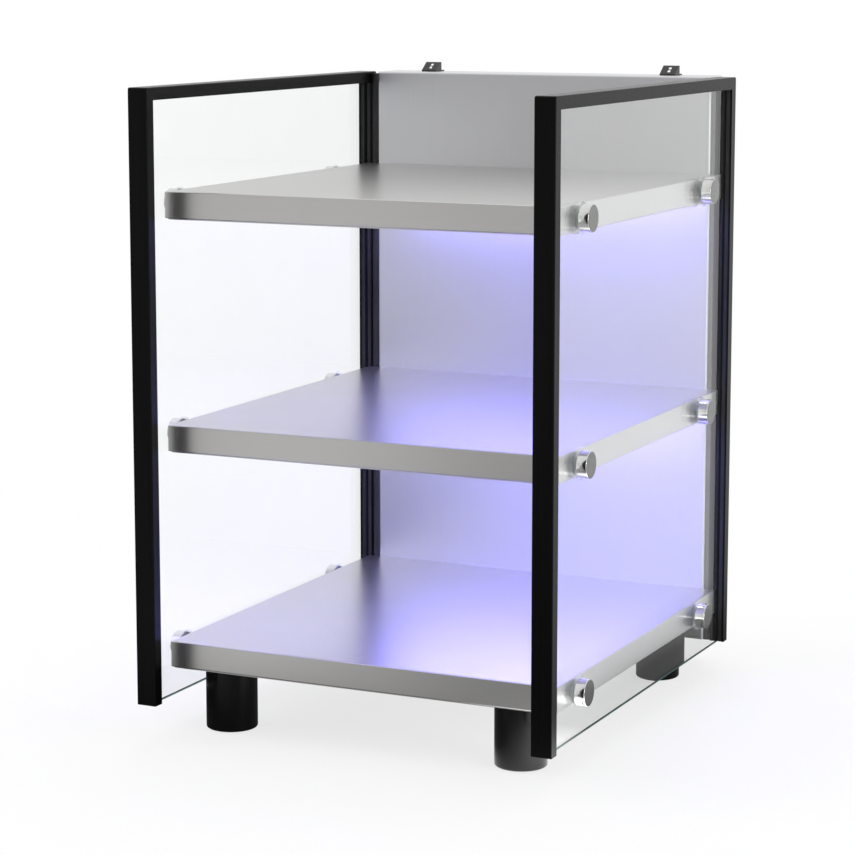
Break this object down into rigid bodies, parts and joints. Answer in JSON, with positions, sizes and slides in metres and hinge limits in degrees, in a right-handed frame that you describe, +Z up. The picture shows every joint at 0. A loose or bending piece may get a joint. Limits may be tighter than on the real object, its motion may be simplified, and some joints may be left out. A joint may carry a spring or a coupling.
{
  "type": "cup warmer",
  "caption": "Countertop cup warmer: heated steel shelves between black-framed glass sides, on round feet, with a steel electrics box at the back.",
  "frame": {"origin": "on the floor, in the middle of the outer box", "axes": "+X to the right seen from the front, +Y to the rear, +Z up"},
  "size_m": [0.3116, 0.373, 0.448],
  "materials": {
    "shelf_steel": "satin stainless sheet",
    "box_steel": "polished stainless sheet",
    "black_channel": "satin black anodised aluminium",
    "clear_glass": "clear polished glass with a green edge",
    "gasket_rubber": "black extruded rubber",
    "cap_chrome": "polished",
    "clear_washer": "clear plastic",
    "washer_rubber": "black",
    "zinc_steel": "zinc-plated",
    "heater_silicone": "red silicone mat",
    "insulation_felt": "white mineral felt",
    "foot_plastic": "black satin moulded plastic",
    "pad_rubber": "grey-black rubber",
    "switch_plastic": "black moulded plastic",
    "light_key": "green translucent key",
    "heat_key": "red translucent key",
    "inlet_plastic": "black moulded plastic",
    "pin_brass": "nickel-plated brass",
    "bar_aluminium": "natural anodised",
    "bar_diffuser": "frosted",
    "strip_board": "white circuit board",
    "driver_case": "white plastic case",
    "terminal_plastic": "natural polyamide",
    "lug_black": "black powder coat"
  },
  "bodies": {
    "cabinet": {"bottom_heater": "heater_silicone", "bottom_insulation": "insulation_felt", "bottom_shelf": "shelf_steel", "bottom_shelf_cover": "shelf_steel", "box_nuts": "zinc_steel", "box_screws": "zinc_steel", "cap_studs": "zinc_steel", "foot_nuts": "zinc_steel", "foot_pads": "pad_rubber", "foot_screws": "zinc_steel", "front_left_foot": "foot_plastic", "front_right_foot": "foot_plastic", "glass_caps": "cap_chrome", "heat_limiters": "zinc_steel", "heat_switch_body": "switch_plastic", "inlet_pins": "pin_brass", "inlet_screws": "zinc_steel", "inner_washers": "washer_rubber", "lead_grommets": "washer_rubber", "left_front_channel": "black_channel", "left_gasket": "gasket_rubber", "left_glass": "clear_glass", "left_lug": "lug_black", "left_rear_channel": "black_channel", "left_top_channel": "black_channel", "light_driver": "driver_case", "light_switch_body": "switch_plastic", "lug_screws": "zinc_steel", "mains_inlet": "inlet_plastic", "middle_heater": "heater_silicone", "middle_insulation": "insulation_felt", "middle_light_diffuser": "bar_diffuser", "middle_light_profile": "bar_aluminium", "middle_light_strip": "strip_board", "middle_shelf": "shelf_steel", "middle_shelf_cover": "shelf_steel", "outer_washers": "clear_washer", "rear_box": "box_steel", "rear_cover": "shelf_steel", "rear_cover_screws": "zinc_steel", "rear_left_foot": "foot_plastic", "rear_right_foot": "foot_plastic", "right_front_channel": "black_channel", "right_gasket": "gasket_rubber", "right_glass": "clear_glass", "right_lug": "lug_black", "right_rear_channel": "black_channel", "right_top_channel": "black_channel", "shelf_cover_screws": "zinc_steel", "shelf_weld_nuts": "zinc_steel", "terminal_block": "terminal_plastic", "top_heater": "heater_silicone", "top_insulation": "insulation_felt", "top_light_diffuser": "bar_diffuser", "top_light_profile": "bar_aluminium", "top_light_strip": "strip_board", "top_shelf": "shelf_steel", "top_shelf_cover": "shelf_steel"},
    "heat_key_body": {"heat_switch_rocker": "heat_key"},
    "light_key_body": {"light_switch_rocker": "light_key"}
  },
  "joints": [
    {"name": "heat_switch", "type": "hinge", "parent": "cabinet", "child": "heat_key_body", "pos_m": [0.036, 0.1815, 0.078], "axis": [1, 0, 0], "range_deg": [0, 18]},
    {"name": "light_switch", "type": "hinge", "parent": "cabinet", "child": "light_key_body", "pos_m": [0.01, 0.1815, 0.078], "axis": [1, 0, 0], "range_deg": [0, 18]}
  ]
}
